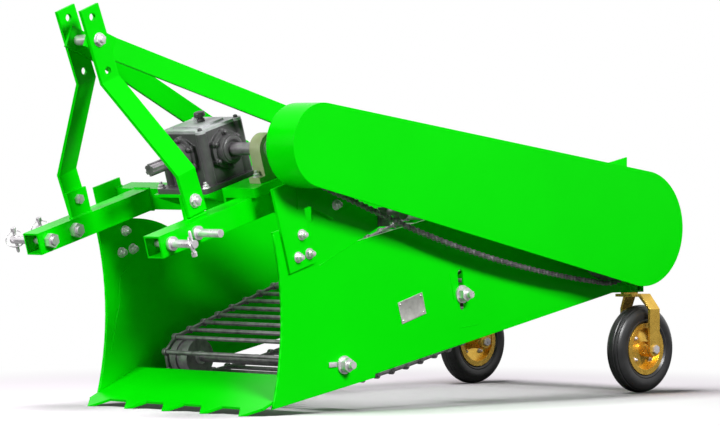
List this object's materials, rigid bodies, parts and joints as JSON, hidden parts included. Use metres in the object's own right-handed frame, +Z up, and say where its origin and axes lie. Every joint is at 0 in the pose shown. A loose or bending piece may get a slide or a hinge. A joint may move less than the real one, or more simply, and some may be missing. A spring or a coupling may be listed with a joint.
{
  "type": "potato digger",
  "caption": "Tractor-mounted one-row potato digger with a toothed share, rod web conveyor, guarded chain drive, gearbox, hitch mast and trailing castor wheels.",
  "frame": {"origin": "on the ground under the middle of the overall box", "axes": "+X to the machine's left, the chain side; +Y rearwards; +Z up; it is drawn forwards along -Y"},
  "size_m": [0.872, 2.0204, 1.0954],
  "materials": {
    "green_paint": "glossy bright green enamel",
    "cast_housing": "charcoal painted casting",
    "bright_steel": "zinc plated bright steel",
    "dark_steel": "oiled dark steel",
    "yellow_zinc": "yellow passivated zinc",
    "rubber_tyre": "plain black rubber",
    "bearing_olive": "olive painted casting",
    "gearbox_lid": "light grey cast lid"
  },
  "bodies": {
    "frame": {"side_plate_left": "green_paint", "side_plate_right": "green_paint", "share": "green_paint", "web": "dark_steel", "front_rollers": "dark_steel", "mid_rollers": "dark_steel", "roller_bolts": "bright_steel", "rear_shaft": "dark_steel", "rear_bearings": "cast_housing", "rear_beam": "green_paint", "drawbar_left": "green_paint", "drawbar_right": "green_paint", "hitch_pins_left": "bright_steel", "hitch_pins_right": "bright_steel", "cross_beam": "green_paint", "leg_plates": "green_paint", "gearbox_plate": "green_paint", "gearbox": "cast_housing", "gearbox_cover": "gearbox_lid", "input_shaft": "dark_steel", "cross_shaft": "dark_steel", "cross_bearing": "bearing_olive", "mast_left": "green_paint", "mast_right": "green_paint", "mast_bolts": "bright_steel", "brace_left": "green_paint", "brace_right": "green_paint", "front_sprocket": "dark_steel", "rear_sprocket": "dark_steel", "chain": "dark_steel", "tensioner": "dark_steel", "guard_back": "green_paint", "guard": "green_paint", "guard_bracket": "green_paint"},
    "castor_left": {"castor_fork_left": "yellow_zinc", "axle_left": "bright_steel"},
    "wheel_left": {"rim_left": "yellow_zinc", "tyre_left": "rubber_tyre"},
    "castor_right": {"castor_fork_right": "yellow_zinc", "axle_right": "bright_steel"},
    "wheel_right": {"rim_right": "yellow_zinc", "tyre_right": "rubber_tyre"}
  },
  "joints": [
    {"name": "castor_left_swivel", "type": "hinge", "parent": "frame", "child": "castor_left", "pos_m": [0.306, 0.83669, 0.294], "axis": [0, 0, 1], "continuous": true},
    {"name": "wheel_left_spin", "type": "hinge", "parent": "castor_left", "child": "wheel_left", "pos_m": [0.306, 0.88269, 0.1275], "axis": [1, 0, 0], "continuous": true},
    {"name": "castor_right_swivel", "type": "hinge", "parent": "frame", "child": "castor_right", "pos_m": [-0.37, 0.83669, 0.294], "axis": [0, 0, 1], "continuous": true},
    {"name": "wheel_right_spin", "type": "hinge", "parent": "castor_right", "child": "wheel_right", "pos_m": [-0.37, 0.88269, 0.1275], "axis": [1, 0, 0], "continuous": true}
  ]
}
